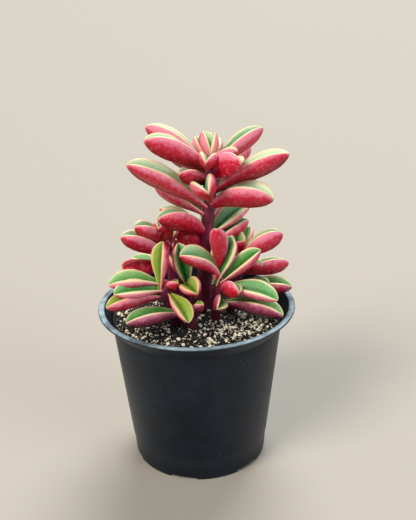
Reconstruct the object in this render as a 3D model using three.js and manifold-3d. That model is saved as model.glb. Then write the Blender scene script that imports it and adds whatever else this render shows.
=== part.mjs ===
// Potted ruby peperomia: a leafy succulent with boat-shaped, folded leaves, growing from
// seven short shoots and one tall one in a round black nursery pot.
// Millimetres, +Z up. The origin is the middle of the pot's foot, on the surface it stands on;
// -Y is the front and +X is the right-hand side seen from the front.
import * as THREE from "three";
import { mergeVertices } from "three/addons/utils/BufferGeometryUtils.js";
import Module from "manifold-3d";

const wasm = await Module();
wasm.setup();

// Driving dimensions of the pot
const rimRadius = 52.5;
const potHeight = 88;
const footRadius = 36.4;
const neckRadius = 45.6;
const neckHeight = 79.5;
const potWall = 1.2;
const lipDrop = 1.7;
const lipWidth = 3.4;
const floorLift = 2.4;
const floorThick = 1.4;
const footWidth = 5;
const potSides = 40;
// Faint steps round the wall: one near the foot, one under the flared neck
const wallFoot = 12;
const stepOut = 0.4;
const stepHigh = 0.6;
const edgeRound = 1.2;
const notchCount = 6;
const notchTurn = 13;
const notchWidth = 15;
const notchHeight = 1.7;
const drainCircle = 23;
const drainRadius = 3.5;
const middleDrainRadius = 5;
const drainSides = 12;

// Driving dimensions of the potting mix
const soilEdgeHeight = 81.5;
const soilCrown = 2.2;
const soilGap = 0.3;
const soilSides = 30;
const soilBands = 5;
const grainCount = 48;
const grainSize = 1.7;
const grainSeed = 41;

// Stems
const stemSides = 7;
const stemFoot = 68;
const rootGap = 0.35;

// One leaf's outline: share of the full side height at each share of its length
const leafOutline = [
  [0, 0.2], [0.2, 0.36], [0.46, 0.83], [0.72, 0.98], [0.93, 0.6],
];
// As shares of a side's height: how thick a side is, how far the keel lies under the fold's line
// and the fold's floor over it, how far a side bellies out, and how far the tip curls up
const sideThick = 0.36;
const keelDrop = 0.24;
const foldRise = 0.3;
const sideBulge = 0.13;
const tipRise = 0.35;
// Leaves root a little off the stem's middle, so that no two share a point inside it
const rootOffset = 0.45;

const rad = THREE.MathUtils.degToRad;

// Each shoot: its stem's route and radii, then its leaves from the foot up. A leaf is
// [height it grows from, turn round Z from +X, rise at its root, length, bend towards the tip,
//  half angle of the fold, roll round its own length, height of its sides], degrees and mm.
const shoots = {
  main_shoot: {
    route: [[5, 4, stemFoot], [5, 2, 100], [6, 0.5, 125], [8, 0, 145], [9, 0, 165]],
    radii: [3.3, 3],
    leaves: [
      [112, 95, 20, 34, -10, 34, 0, 8.5],
      [114, 20, 30, 30, -5, 36, 0, 8.5],
      [122, 165, 35, 30, -10, 34, 0, 8],
      [106, 200, 60, 27, 0, 42, 60, 9.5],
      [126, 60, 35, 34, -15, 34, 0, 8.5],
      [119.5, 212, 58, 36, -52, 28, 0, 9.5],
      [122, 28, 34, 32, -10, 40, 22, 8.5],
      [129, 120, 62, 14, -5, 30, 0, 5],
      [133, 168, 40, 33, -20, 30, -14, 8.5],
      [135.5, 330, 45, 40, -55, 26, 4, 11],
      [136, 196, 46, 53, -22, 27, -20, 10],
      [141, 70, 40, 36, -12, 32, 0, 9],
      [144.5, 270, 36, 27, -30, 26, 22, 11.5],
      [144, 345, 37, 49, -14, 27, 8, 9.5],
      [147, 115, 35, 36, -12, 30, 0, 9],
      [150.5, 227, 32, 27, -10, 30, 0, 7],
      [151, 42, 28, 34, -12, 30, 0, 8.5],
      [152, 156, 38, 32, -12, 28, 0, 8],
      [153, 305, 42, 29, -24, 27, -25, 9.5],
      [155, 198, 47, 42, -30, 27, -2, 10],
      [155, 80, 36, 28, -10, 30, 0, 8.5],
      [157.5, 171, 45, 41, -22, 28, 6, 9],
      [158, 13, 38, 36, -8, 26, 4, 8],
      [160, 259, 36, 19, -25, 26, -4, 8],
      [160, 330, 44, 20, -20, 25, 0, 6],
      [160, 128, 52, 20, -10, 30, 0, 7],
      [159, 200, 40, 12, -20, 27, 0, 5],
      [161, 138, 68, 20, 0, 26, 0, 7.5],
      [161, 52, 68, 19, 0, 28, 0, 7.5],
      [161, 30, 70, 10, 0, 26, 0, 4],
    ],
  },
  left_back_shoot: {
    route: [[-8, 5, stemFoot], [-11, 4, 95], [-14, 3, 117]],
    radii: [3.1, 2.7],
    leaves: [
      [95, 60, 8, 28, -10, 36, 0, 8],
      [96, 125, 10, 28, -10, 36, 0, 8],
      [99, 90, 25, 28, -14, 34, 0, 8],
      [101, 20, 25, 25, -12, 34, 0, 7.5],
      [102, 155, 30, 26, -12, 34, 0, 7.5],
      [105, 70, 50, 24, -10, 32, 0, 7.5],
      [106, 190, 60, 20, -8, 32, 0, 7],
      [107, 120, 68, 19, -6, 30, 0, 7],
      [107, 330, 72, 14, -6, 30, 0, 5.5],
    ],
  },
  left_shoot: {
    route: [[-8, -10, stemFoot], [-13, -17, 92], [-17, -21, 107]],
    radii: [2.9, 2.6],
    leaves: [
      [98, 204, 14, 34, -22, 34, 0, 7.5],
      [99, 150, 12, 28, -20, 34, 0, 7.5],
      [102.5, 199, 20, 28, -26, 38, -22, 8],
      [105, 182, 24, 28, -40, 36, -12, 8.5],
      [101, 294, 10, 25, -46, 46, -10, 6.5],
      [105.5, 45, 84, 26, -4, 32, 0, 7.5],
      [104, 330, 40, 10, -20, 34, -10, 4.5],
      [104, 240, 64, 8, 0, 30, 0, 3.5],
    ],
  },
  front_left_shoot: {
    route: [[-2, -15, stemFoot], [-3, -20, 84], [-4, -25, 94]],
    radii: [2.3, 2.1],
    leaves: [
      [89.5, 205, 13, 36, -14, 40, 4, 8.5],
      [92, 330, 40, 11, -10, 34, 0, 5],
    ],
  },
  middle_shoot: {
    route: [[0, -7, stemFoot], [-3, -9, 92], [-7, -11, 107]],
    radii: [2.9, 2.6],
    leaves: [
      [100, 287, 30, 21, -36, 32, 24, 8.5],
      [101, 156, 78, 26, 0, 36, -44, 8],
      [101, 120, 40, 22, -10, 32, 0, 7],
    ],
  },
  right_front_shoot: {
    route: [[8, -8, stemFoot], [10, -12, 92], [11, -14, 107]],
    radii: [2.7, 2.5],
    leaves: [
      [89.5, 338, 10, 36, -26, 38, -4, 9],
      [95, 262, 10, 17, -10, 28, -52, 6.5],
      [99, 336, 17, 33, -38, 42, 14, 8],
      [99, 300, 22, 20, -14, 26, -30, 7],
      [101.5, 0, 42, 31, -6, 34, 24, 7.5],
      [103, 205, 66, 31, -50, 36, -22, 9],
      [104, 40, 66, 26, -6, 48, 20, 8.5],
      [106, 262, 80, 31, -10, 26, 0, 8],
      [104, 316, 78, 10, 0, 26, 60, 3.5],
    ],
  },
  right_shoot: {
    route: [[17, 2, stemFoot], [20, 1, 92], [23, -1, 112]],
    radii: [2.9, 2.6],
    leaves: [
      [94, 328, 18, 22, -10, 34, -10, 7],
      [91, 350, 14, 32, -16, 30, 8, 8],
      [100.5, 8, 12, 30, -10, 32, -14, 8],
      [104, 335, 22, 16, -10, 30, -10, 6],
      [108, 70, 35, 26, -12, 32, 0, 7.5],
      [109, 355, 40, 29, -18, 27, -6, 9],
      [111, 110, 60, 18, -8, 32, 0, 6.5],
      [111, 300, 70, 13, -6, 30, 0, 5],
    ],
  },
  back_shoot: {
    route: [[3, 17, stemFoot], [4, 20, 92], [5, 22, 108]],
    radii: [2.9, 2.6],
    leaves: [
      [95, 60, 8, 28, -10, 36, 0, 8],
      [96, 125, 10, 28, -10, 36, 0, 8],
      [99, 90, 25, 28, -14, 34, 0, 8],
      [101, 20, 25, 25, -12, 34, 0, 7.5],
      [102, 155, 30, 26, -12, 34, 0, 7.5],
      [105, 70, 50, 24, -10, 32, 0, 7.5],
      [106, 190, 60, 20, -8, 32, 0, 7],
      [107, 120, 68, 19, -6, 30, 0, 7],
      [107, 330, 72, 14, -6, 30, 0, 5.5],
    ],
  },
};

// A closed geometry as a manifold solid
function solidOf(geometry) {
  const bare = geometry.clone();
  bare.deleteAttribute("normal");
  bare.deleteAttribute("uv");
  const merged = mergeVertices(bare, 1e-4);
  return new wasm.Manifold(new wasm.Mesh({
    numProp: 3,
    vertProperties: merged.attributes.position.array,
    triVerts: new Uint32Array(merged.index.array),
  }));
}

// Points of a cut solid that lie closer than this are one point, in mm
const finest = 0.03;

// A face thinner than this, in mm, shares its long edge's place with the face beyond that edge
const thinnest = 0.006;
function turnNeedles(points, faces) {
  for (let i = 0; i < faces.length; i += 3) {
    const at = [0, 1, 2].map((n) => points[faces[i + n]]);
    const lengths = at.map((point, n) => point.distanceTo(at[(n + 1) % 3]));
    const long = lengths.indexOf(Math.max(...lengths));
    const side = new THREE.Vector3().subVectors(at[1], at[0]);
    const area = side.cross(new THREE.Vector3().subVectors(at[2], at[0])).length();
    if (area / lengths[long] > thinnest) continue;
    const [a, b, c] = [0, 1, 2].map((n) => faces[i + ((long + n) % 3)]);
    for (let j = 0; j < faces.length; j += 3) {
      const shared = [0, 1, 2].find((n) => faces[j + n] === b && faces[j + ((n + 1) % 3)] === a);
      if (shared === undefined) continue;
      const d = faces[j + ((shared + 2) % 3)];
      faces.splice(i, 3, a, d, c);
      faces.splice(j, 3, d, b, c);
      break;
    }
  }
}

// A manifold solid as a geometry
function geometryOf(solid) {
  const mesh = solid.getMesh();
  const kept = [];
  const numberOf = [];
  for (let i = 0; i < mesh.numVert; i++) {
    const start = i * mesh.numProp;
    const point = new THREE.Vector3().fromArray(mesh.vertProperties, start);
    let number = kept.findIndex((other) => other.distanceTo(point) < finest);
    if (number < 0) number = kept.push(point) - 1;
    numberOf.push(number);
  }
  const faces = [];
  for (let i = 0; i < mesh.triVerts.length; i += 3) {
    const [a, b, c] = [...mesh.triVerts.subarray(i, i + 3)].map((v) => numberOf[v]);
    if (a !== b && b !== c && c !== a) faces.push(a, b, c);
  }
  turnNeedles(kept, faces);
  const geometry = new THREE.BufferGeometry();
  geometry.setAttribute("position",
    new THREE.Float32BufferAttribute(kept.flatMap((point) => point.toArray()), 3));
  geometry.setIndex(faces);
  geometry.computeVertexNormals();
  return geometry;
}

// A skin over rings of equal point count, closed by a point at each end
function skinOver(rings, startPoint, endPoint) {
  const count = rings[0].length;
  const places = rings.flat().concat([startPoint, endPoint]).flatMap((p) => p.toArray());
  const start = rings.length * count;
  const faces = [];
  for (let i = 0; i < count; i++) {
    const next = (i + 1) % count;
    faces.push(start, next, i);
    for (let k = 0; k + 1 < rings.length; k++) {
      const low = k * count;
      faces.push(low + i, low + next, low + count + next);
      faces.push(low + i, low + count + next, low + count + i);
    }
    const last = (rings.length - 1) * count;
    faces.push(last + i, last + next, start + 1);
  }
  const geometry = new THREE.BufferGeometry();
  geometry.setAttribute("position", new THREE.Float32BufferAttribute(places, 3));
  geometry.setIndex(faces);
  return geometry;
}

// Stem: a round tube along its route, tapering to a blunt top
function stem(route, radii, grow) {
  const curve = new THREE.CatmullRomCurve3(route.map((p) => new THREE.Vector3(...p)));
  const steps = route.length * 2;
  const rings = [];
  for (let k = 0; k <= steps; k++) {
    const share = k / steps;
    const middle = curve.getPoint(share);
    const radius = radii[0] + (radii[1] - radii[0]) * share + grow;
    rings.push(Array.from({ length: stemSides }, (_, i) => {
      const angle = (2 * Math.PI * i) / stemSides;
      return new THREE.Vector3(
        middle.x + radius * Math.cos(angle), middle.y + radius * Math.sin(angle), middle.z);
    }));
  }
  const foot = curve.getPoint(0);
  const top = curve.getPoint(1);
  foot.z -= grow;
  top.z += radii[1] * 0.6 + grow;
  rings[0].forEach((p) => { p.z -= grow; });
  return skinOver(rings, foot, top);
}

// Where a stem's middle is at a height
function stemPointAt(route, height) {
  const curve = new THREE.CatmullRomCurve3(route.map((p) => new THREE.Vector3(...p)));
  let low = 0;
  let high = 1;
  for (let i = 0; i < 24; i++) {
    const middle = (low + high) / 2;
    if (curve.getPoint(middle).z < height) low = middle;
    else high = middle;
  }
  return curve.getPoint(low);
}

// Half of a leaf's section, from the bottom of the fold over the rim to the keel:
// [across, up] for a side of height 1 that leans out by the fold's half angle
function halfSection(fold) {
  const lean = rad(fold);
  const along = [Math.sin(lean), Math.cos(lean)];
  const out = [Math.cos(lean), -Math.sin(lean)];
  const at = (share, offset) => {
    const bulge = sideBulge * Math.sin(Math.PI * share) + offset;
    return [along[0] * share + out[0] * bulge, along[1] * share + out[1] * bulge];
  };
  const half = sideThick / 2;
  return [
    [0, foldRise],
    at(0.93, -half * 0.7),
    at(0.95, half * 0.7),
    at(0.42, half),
    [0, -keelDrop],
  ];
}

// Leaf: the folded section swept along an arched line
function leaf(root, turn, rise, length, bend, fold, roll, side, grow) {
  const section = halfSection(fold);
  const mirrored = section.slice(1, -1).reverse().map(([a, b]) => [-a, b]);
  const outline = [...section, ...mirrored];
  const level = new THREE.Vector3(Math.cos(rad(turn)), Math.sin(rad(turn)), 0);
  const up = new THREE.Vector3(0, 0, 1);
  const place = root.clone();
  const rings = [];
  let before = 0;
  for (const [share, size] of [...leafOutline, [1, 0]]) {
    const pitchMiddle = rad(rise + (bend * (share + before)) / 2);
    const step = length * (share - before);
    place.addScaledVector(level, Math.cos(pitchMiddle) * step);
    place.addScaledVector(up, Math.sin(pitchMiddle) * step);
    before = share;
    if (size === 0) break;
    const pitch = rad(rise + bend * share);
    const ahead = level.clone().multiplyScalar(Math.cos(pitch)).addScaledVector(up, Math.sin(pitch));
    const across = new THREE.Vector3().crossVectors(ahead, up).normalize();
    const above = new THREE.Vector3().crossVectors(across, ahead);
    across.applyAxisAngle(ahead, rad(roll));
    above.applyAxisAngle(ahead, rad(roll));
    const lift = side * tipRise * (1 - size);
    rings.push(outline.map(([a, b]) => {
      const reach = side * size + grow;
      return place.clone().addScaledVector(across, a * reach).addScaledVector(above, b * reach + lift);
    }));
  }
  const tipPitch = rad(rise + bend);
  const tipUp = new THREE.Vector3(-level.x * Math.sin(tipPitch), -level.y * Math.sin(tipPitch),
    Math.cos(tipPitch));
  const tipAhead = level.clone().multiplyScalar(Math.cos(tipPitch)).addScaledVector(up, Math.sin(tipPitch));
  tipUp.applyAxisAngle(tipAhead, rad(roll));
  place.addScaledVector(tipUp, side * tipRise).addScaledVector(tipAhead, grow);
  return skinOver(rings, root, place);
}

function leavesOf({ route, leaves }, grow) {
  return leaves.map(([height, turn, rise, length, bend, fold, roll, side]) => {
    const root = stemPointAt(route, height);
    root.x -= rootOffset * Math.cos(rad(turn));
    root.y -= rootOffset * Math.sin(rad(turn));
    return solidOf(leaf(root, turn, rise, length, bend, fold, roll, side, grow));
  });
}

const joined = (solids) => solids.reduce((all, one) => all.add(one));

// The largest of a solid's separate bodies, without the pockets that joining sealed inside it
// and without the slivers that cuts leave along their edges
const sliver = 0.1;
function largestBody(solid) {
  const bodies = solid.simplify(sliver).decompose();
  return bodies.reduce((best, one) => (one.volume() > best.volume() ? one : best));
}

// Pot: a thin moulded shell with a flared neck and a flat lip, as [radius, height] round its wall
const lipInner = rimRadius - lipWidth;
const lipUnder = potHeight - lipDrop;
const flareFoot = neckRadius + stepOut / 2;
const flareTop = lipInner + 1;
const wallStepRadius = footRadius + 0.9 + stepOut;
const floorTop = floorLift + floorThick;
function potProfile() {
  const outside = [
    [footRadius - edgeRound, 0], [footRadius, edgeRound], [wallStepRadius - stepOut, wallFoot],
    [wallStepRadius, wallFoot + stepHigh], [neckRadius - stepOut, neckHeight - stepHigh],
    [flareFoot, neckHeight], [flareTop, lipUnder - stepHigh],
    [rimRadius - stepOut, lipUnder], [rimRadius, potHeight - lipDrop / 2],
    [rimRadius - stepOut, potHeight - stepOut / 4], [rimRadius - edgeRound, potHeight],
  ];
  const inside = [
    [lipInner + stepOut, potHeight - stepOut], [lipInner, potHeight - edgeRound],
    [flareFoot - potWall, neckHeight + stepOut],
    [wallStepRadius - potWall, wallFoot], [footRadius - potWall - stepHigh, floorTop],
    [0, floorTop], [0, floorLift], [footRadius - footWidth, floorLift],
    [footRadius - footWidth + stepOut, 0],
  ];
  return [...outside, ...inside, outside[0]].map(([r, z]) => new THREE.Vector2(r, z));
}

// An upright drill through the pot's floor
function drill(radius, x, y) {
  const round = new THREE.CylinderGeometry(radius, radius, floorThick * 8, drainSides);
  round.rotateX(Math.PI / 2);
  round.translate(x, y, floorLift);
  return solidOf(round);
}

function pot() {
  const shell = new THREE.LatheGeometry(potProfile(), potSides);
  shell.rotateX(Math.PI / 2);
  const cuts = [drill(middleDrainRadius, 0, 0)];
  for (let i = 0; i < notchCount; i++) {
    const angle = (2 * Math.PI * i) / notchCount + rad(notchTurn);
    const notch = new THREE.BoxGeometry(footWidth * 3, notchWidth, notchHeight * 2);
    notch.translate(footRadius - footWidth / 2, 0, 0);
    notch.rotateZ(angle);
    cuts.push(solidOf(notch));
    cuts.push(drill(drainRadius, drainCircle * Math.cos(angle), drainCircle * Math.sin(angle)));
  }
  return solidOf(shell).subtract(joined(cuts));
}

// A steady source of shares between 0 and 1
function drawer(seed) {
  let state = seed;
  return () => {
    state = (state * 16807) % 2147483647;
    return state / 2147483647;
  };
}

// Height of the potting mix at a place: a low crown with gentle lumps that fade at the wall
function soilHeight(x, y) {
  const away = Math.hypot(x, y) / neckRadius;
  const lumps = 0.5 * Math.sin(x * 0.42 + 1) * Math.cos(y * 0.37) + 0.35 * Math.sin(x * 0.9 - y * 0.8);
  return soilEdgeHeight + soilCrown * (1 - away * away) + lumps * (1 - away);
}

// Potting mix: fills the pot, heaped a little, with grains of perlite standing out of it
function soil() {
  const inset = potWall + soilGap;
  // The pot's wall is faceted, so the mix keeps this much further in than its corners
  const facetInset = 0.5;
  const neckShare = (soilEdgeHeight - neckHeight) / (lipUnder - stepHigh - neckHeight);
  const edge = flareFoot + (flareTop - flareFoot) * neckShare - inset - facetInset;
  const floor = floorTop + soilGap;
  const ring = (radius, heightOf) => Array.from({ length: soilSides }, (_, i) => {
    const angle = (2 * Math.PI * i) / soilSides;
    const x = radius * Math.cos(angle);
    const y = radius * Math.sin(angle);
    return new THREE.Vector3(x, y, heightOf(x, y));
  });
  const rings = [
    ring(footRadius - inset - facetInset - stepOut, () => floor),
    ring(wallStepRadius - inset - facetInset / 2, () => wallFoot + stepOut),
    ring(neckRadius - inset - facetInset, () => neckHeight - stepOut),
  ];
  for (let k = 0; k < soilBands; k++) rings.push(ring(edge * (1 - k / soilBands), soilHeight));
  const body = solidOf(skinOver(rings, new THREE.Vector3(0, 0, floor),
    new THREE.Vector3(0, 0, soilHeight(0, 0))));
  const draw = drawer(grainSeed);
  const grains = [];
  for (let i = 0; i < grainCount; i++) {
    const reach = (edge - grainSize * 1.8) * Math.sqrt(draw());
    const angle = 2 * Math.PI * draw();
    const x = reach * Math.cos(angle);
    const y = reach * Math.sin(angle);
    const size = grainSize * (0.6 + 0.7 * draw());
    const grain = new THREE.OctahedronGeometry(size, 0);
    grain.rotateX(3 * draw());
    grain.rotateY(3 * draw());
    grain.translate(x, y, soilHeight(x, y) + size * 0.1);
    grains.push(solidOf(grain));
  }
  return body.add(joined(grains));
}

const finishes = {
  pot: { color: 0x1d2226, roughness: 0.45, metalness: 0 },
  soil: { color: 0x2c241e, roughness: 0.95, metalness: 0 },
  shoot: { color: 0xa8324a, roughness: 0.5, metalness: 0 },
};

function named(name, solid, finish) {
  const mesh = new THREE.Mesh(geometryOf(solid), new THREE.MeshStandardMaterial(finishes[finish]));
  mesh.name = name;
  return mesh;
}

const plant = new THREE.Group();
plant.add(named("pot", pot(), "pot"));

// Where two shoots press on each other, the later one gives way by a small gap
const pressGap = 0.35;
let ground = soil();
let taken = null;
for (const [name, shoot] of Object.entries(shoots)) {
  let solid = joined([...leavesOf(shoot, 0), solidOf(stem(shoot.route, shoot.radii, 0))]);
  if (taken) solid = solid.subtract(taken);
  solid = largestBody(solid);
  ground = ground.subtract(solidOf(stem(shoot.route, shoot.radii, rootGap)));
  const clear = joined([
    solidOf(stem(shoot.route, shoot.radii, pressGap)), ...leavesOf(shoot, pressGap)]);
  taken = taken ? taken.add(clear) : clear;
  plant.add(named(name, solid, "shoot"));
}
plant.add(named("soil", largestBody(ground), "soil"));

export default plant;
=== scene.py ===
# A small ruby peperomia in a black nursery pot. Metres, +Z up, -Y is the front.
import math
import random
import bmesh
import bpy
import numpy as np
from mathutils import Matrix, Vector, noise


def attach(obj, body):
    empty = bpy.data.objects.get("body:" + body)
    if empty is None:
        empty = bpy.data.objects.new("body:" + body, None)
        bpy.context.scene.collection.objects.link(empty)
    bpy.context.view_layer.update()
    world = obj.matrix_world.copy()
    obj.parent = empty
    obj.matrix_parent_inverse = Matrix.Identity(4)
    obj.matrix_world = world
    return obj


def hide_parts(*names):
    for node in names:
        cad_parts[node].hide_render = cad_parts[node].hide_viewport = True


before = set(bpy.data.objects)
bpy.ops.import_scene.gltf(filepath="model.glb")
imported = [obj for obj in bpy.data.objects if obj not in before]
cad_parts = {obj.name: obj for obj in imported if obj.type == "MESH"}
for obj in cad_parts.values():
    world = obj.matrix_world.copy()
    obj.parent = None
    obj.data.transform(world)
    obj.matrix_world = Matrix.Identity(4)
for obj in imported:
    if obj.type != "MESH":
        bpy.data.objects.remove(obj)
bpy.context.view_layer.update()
mm = 0.001
scene = bpy.context.scene


# Small helpers

def linearColor(hexText):
    # an sRGB hex colour as the linear one that Blender works in
    shares = [int(hexText[i:i + 2], 16) / 255 for i in (0, 2, 4)]
    return tuple(s / 12.92 if s <= 0.04045 else ((s + 0.055) / 1.055) ** 2.4 for s in shares) + (1.0,)


def linkObject(name, data):
    thing = bpy.data.objects.new(name, data)
    scene.collection.objects.link(thing)
    return thing


def meshObject(name, vertices, faces, smooth=True):
    mesh = bpy.data.meshes.new(name)
    mesh.from_pydata([tuple(v) for v in vertices], [], faces)
    mesh.validate()
    if smooth:
        mesh.shade_smooth()
    return linkObject(name, mesh)


def bmeshObject(name, shape):
    mesh = bpy.data.meshes.new(name)
    shape.to_mesh(mesh)
    shape.free()
    return linkObject(name, mesh)


def madePlain(thing, name):
    # the evaluated shape as a plain mesh object, with the modified one removed
    depsgraph = bpy.context.evaluated_depsgraph_get()
    mesh = bpy.data.meshes.new_from_object(thing.evaluated_get(depsgraph))
    bpy.data.objects.remove(thing)
    mesh.name = name
    return linkObject(name, mesh)


def fixNormals(piece):
    shape = bmesh.new()
    shape.from_mesh(piece.data)
    bmesh.ops.recalc_face_normals(shape, faces=shape.faces)
    shape.to_mesh(piece.data)
    shape.free()


def markPoints(mesh, label, values):
    layer = mesh.attributes.new(label, "FLOAT", "POINT")
    layer.data.foreach_set("value", np.array(values, np.float32))


def placePiece(piece, slot, *nodes):
    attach(piece, "root")
    if nodes:
        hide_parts(*nodes)


# Node helpers. Widths and depths are given in millimetres.

def addNode(tree, kind, settings=None, inputs=None):
    node = tree.nodes.new(kind)
    for key, value in (settings or {}).items():
        setattr(node, key, value)
    for key, value in (inputs or {}).items():
        if isinstance(value, bpy.types.NodeSocket):
            tree.links.new(value, node.inputs[key])
        else:
            node.inputs[key].default_value = value
    return node


def newMaterial(name):
    material = bpy.data.materials.new(name)
    material.use_nodes = True
    tree = material.node_tree
    return material, tree, tree.nodes["Principled BSDF"]


def objectPlace(tree):
    return addNode(tree, "ShaderNodeTexCoord").outputs["Object"]


def heightAt(tree, place):
    return addNode(tree, "ShaderNodeSeparateXYZ", inputs={"Vector": place}).outputs["Z"]


def noiseTexture(tree, place, width, detail=2.0, roughness=0.5):
    inputs = {"Vector": place, "Scale": 1 / (width * mm), "Detail": detail, "Roughness": roughness}
    return addNode(tree, "ShaderNodeTexNoise", inputs=inputs).outputs["Fac"]


def cellTexture(tree, place, width):
    inputs = {"Vector": place, "Scale": 1 / (width * mm)}
    return addNode(tree, "ShaderNodeTexVoronoi", inputs=inputs).outputs["Distance"]


def colorRamp(tree, factor, stops):
    ramp = addNode(tree, "ShaderNodeValToRGB", inputs={"Fac": factor})
    elements = ramp.color_ramp.elements
    while len(elements) < len(stops):
        elements.new(0.5)
    for element, (place, hexText) in zip(elements, stops):
        element.position = place
        element.color = linearColor(hexText)
    return ramp.outputs["Color"]


def softStep(tree, value, low, high):
    return addNode(tree, "ShaderNodeMapRange", {"interpolation_type": "SMOOTHSTEP"},
                   {"Value": value, "From Min": low, "From Max": high}).outputs["Result"]


def mixColor(tree, factor, first, second):
    node = addNode(tree, "ShaderNodeMix", {"data_type": "RGBA"}, {0: factor, 6: first, 7: second})
    return node.outputs[2]


def mathNode(tree, operation, *values):
    return addNode(tree, "ShaderNodeMath", {"operation": operation},
                   dict(enumerate(values))).outputs["Value"]


def setColor(tree, shader, color):
    tree.links.new(color, shader.inputs["Base Color"])


def setRoughness(tree, shader, value, middle, reach):
    # the reach is how far the roughness goes below and above its middle
    inputs = {"Value": value, "To Min": middle - reach[0], "To Max": middle + reach[1]}
    rough = addNode(tree, "ShaderNodeMapRange", inputs=inputs)
    tree.links.new(rough.outputs["Result"], shader.inputs["Roughness"])


def setBump(tree, shader, *layers):
    # each layer is a height, its strength and its depth, from the finest up
    inputs = {}
    for height, (strength, depth) in layers:
        inputs.update({"Height": height, "Strength": strength, "Distance": depth * mm})
        inputs["Normal"] = addNode(tree, "ShaderNodeBump", inputs=inputs).outputs["Normal"]
    tree.links.new(inputs["Normal"], shader.inputs["Normal"])


def newTree(name, sockets, result):
    tree = bpy.data.node_groups.new(name, "GeometryNodeTree")
    for label, kind in sockets.items():
        tree.interface.new_socket(label, in_out="INPUT", socket_type="NodeSocket" + kind)
    tree.interface.new_socket(result, in_out="OUTPUT", socket_type="NodeSocketGeometry")
    return tree, addNode(tree, "NodeGroupInput").outputs


def endTree(tree, geometry, finish, result):
    real = addNode(tree, "GeometryNodeRealizeInstances", inputs={"Geometry": geometry})
    finished = addNode(tree, "GeometryNodeSetMaterial",
                       inputs={"Geometry": real.outputs["Geometry"], "Material": finish})
    addNode(tree, "NodeGroupOutput", inputs={result: finished.outputs["Geometry"]})


def runTree(thing, tree, values, name):
    modifier = thing.modifiers.new(tree.name, "NODES")
    modifier.node_group = tree
    sockets = {s.name: s.identifier for s in tree.interface.items_tree if s.in_out == "INPUT"}
    for label, value in values.items():
        modifier[sockets[label]] = value
    return madePlain(thing, name)


# Camera at the height and tilt of the photograph, for a picture of 416 x 520

cameraSettings = {
    "place": (-8.343, -401.725, 280.48), "pitch": 22.68, "yaw": 2.13, "roll": -1.284,
    "focalPixels": 830, "picture": (416, 520), "sensor": 36, "nearest": 10,
}


def makeCamera(cfg):
    data = bpy.data.cameras.new("camera")
    data.sensor_width = cfg["sensor"]
    data.lens = cfg["focalPixels"] / max(cfg["picture"]) * cfg["sensor"]
    data.clip_start = cfg["nearest"] * mm
    camera = linkObject("camera", data)
    pitch, yaw, roll = (math.radians(cfg[k]) for k in ("pitch", "yaw", "roll"))
    ahead = Vector((math.sin(yaw) * math.cos(pitch), math.cos(yaw) * math.cos(pitch), -math.sin(pitch)))
    level = Vector((math.cos(yaw), -math.sin(yaw), 0))
    above = level.cross(ahead)
    right = math.cos(roll) * level + math.sin(roll) * above
    up = -math.sin(roll) * level + math.cos(roll) * above
    turn = Matrix((right, up, -ahead)).transposed().to_4x4()
    camera.matrix_world = Matrix.Translation(Vector(cfg["place"]) * mm) @ turn
    scene.camera = camera


makeCamera(cameraSettings)
print("camera ready")


# Leaves and stems, in millimetres. A leaf is [height it grows from, turn round Z from +X,
# rise at its root, length, bend towards the tip, half angle of the fold, roll, height of a side]

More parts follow.
